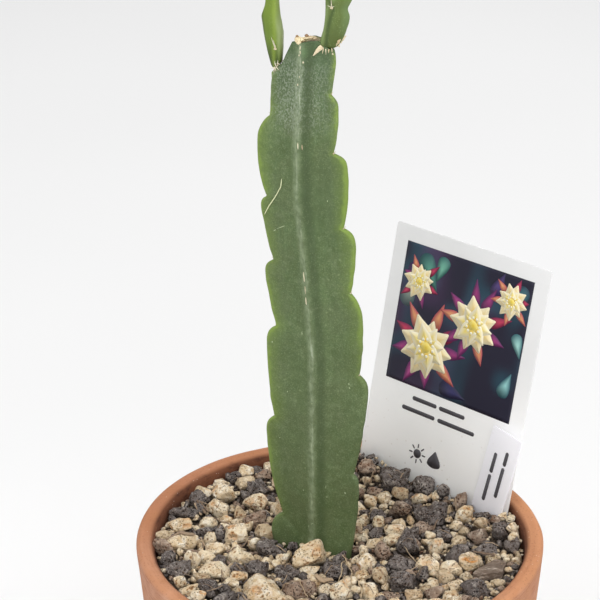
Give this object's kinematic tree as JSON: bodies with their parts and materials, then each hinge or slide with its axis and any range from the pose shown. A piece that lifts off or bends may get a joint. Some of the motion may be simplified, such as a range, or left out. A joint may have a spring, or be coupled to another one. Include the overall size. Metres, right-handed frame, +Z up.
{
  "type": "orchid cactus in a clay pot",
  "caption": "Flat-stemmed orchid cactus cutting with young shoots, rooted in coarse gravel in a plain clay pot, with a picture card and a stick-in tag behind it.",
  "frame": {"origin": "on the ground at the middle of the pot's underside", "axes": "+Z up the pot's axis; -Y towards the front, from which the stem's broad face is seen; +X to the viewer's right"},
  "size_m": [0.1431, 0.1408, 0.351],
  "materials": {
    "terracotta": "matte",
    "gravel": "matte",
    "pumice": "matte",
    "tan_pumice": "matte",
    "lava": "matte",
    "scoria": "matte",
    "bark": "matte",
    "old_stem": "satin",
    "young_stem": "satin",
    "card": "satin",
    "tag": "satin"
  },
  "bodies": {
    "root": {"bark_flake": "bark", "gravel_bed": "gravel", "lava_01": "lava", "lava_02": "lava", "lava_03": "lava", "lava_04": "lava", "lava_05": "lava", "lava_06": "lava", "lava_07": "lava", "lava_08": "lava", "lava_09": "lava", "lava_10": "lava", "lava_11": "lava", "lava_12": "lava", "lava_13": "lava", "lava_14": "lava", "lava_15": "lava", "left_shoot": "young_stem", "main_stem": "old_stem", "picture_card": "card", "plant_tag": "tag", "pot": "terracotta", "pumice_01": "pumice", "pumice_02": "pumice", "pumice_03": "pumice", "pumice_04": "pumice", "pumice_05": "pumice", "pumice_06": "pumice", "pumice_07": "pumice", "pumice_08": "pumice", "pumice_09": "pumice", "pumice_10": "pumice", "pumice_11": "pumice", "pumice_12": "pumice", "pumice_13": "pumice", "pumice_14": "pumice", "pumice_15": "pumice", "pumice_16": "pumice", "pumice_17": "pumice", "pumice_18": "pumice", "pumice_19": "pumice", "pumice_20": "pumice", "pumice_21": "pumice", "pumice_22": "pumice", "pumice_23": "pumice", "right_shoot": "young_stem", "scoria_01": "scoria", "scoria_02": "scoria", "scoria_03": "scoria", "scoria_04": "scoria", "scoria_05": "scoria", "scoria_06": "scoria", "tan_pumice_01": "tan_pumice", "tan_pumice_02": "tan_pumice", "tan_pumice_03": "tan_pumice", "tan_pumice_04": "tan_pumice"}
  },
  "joints": []
}
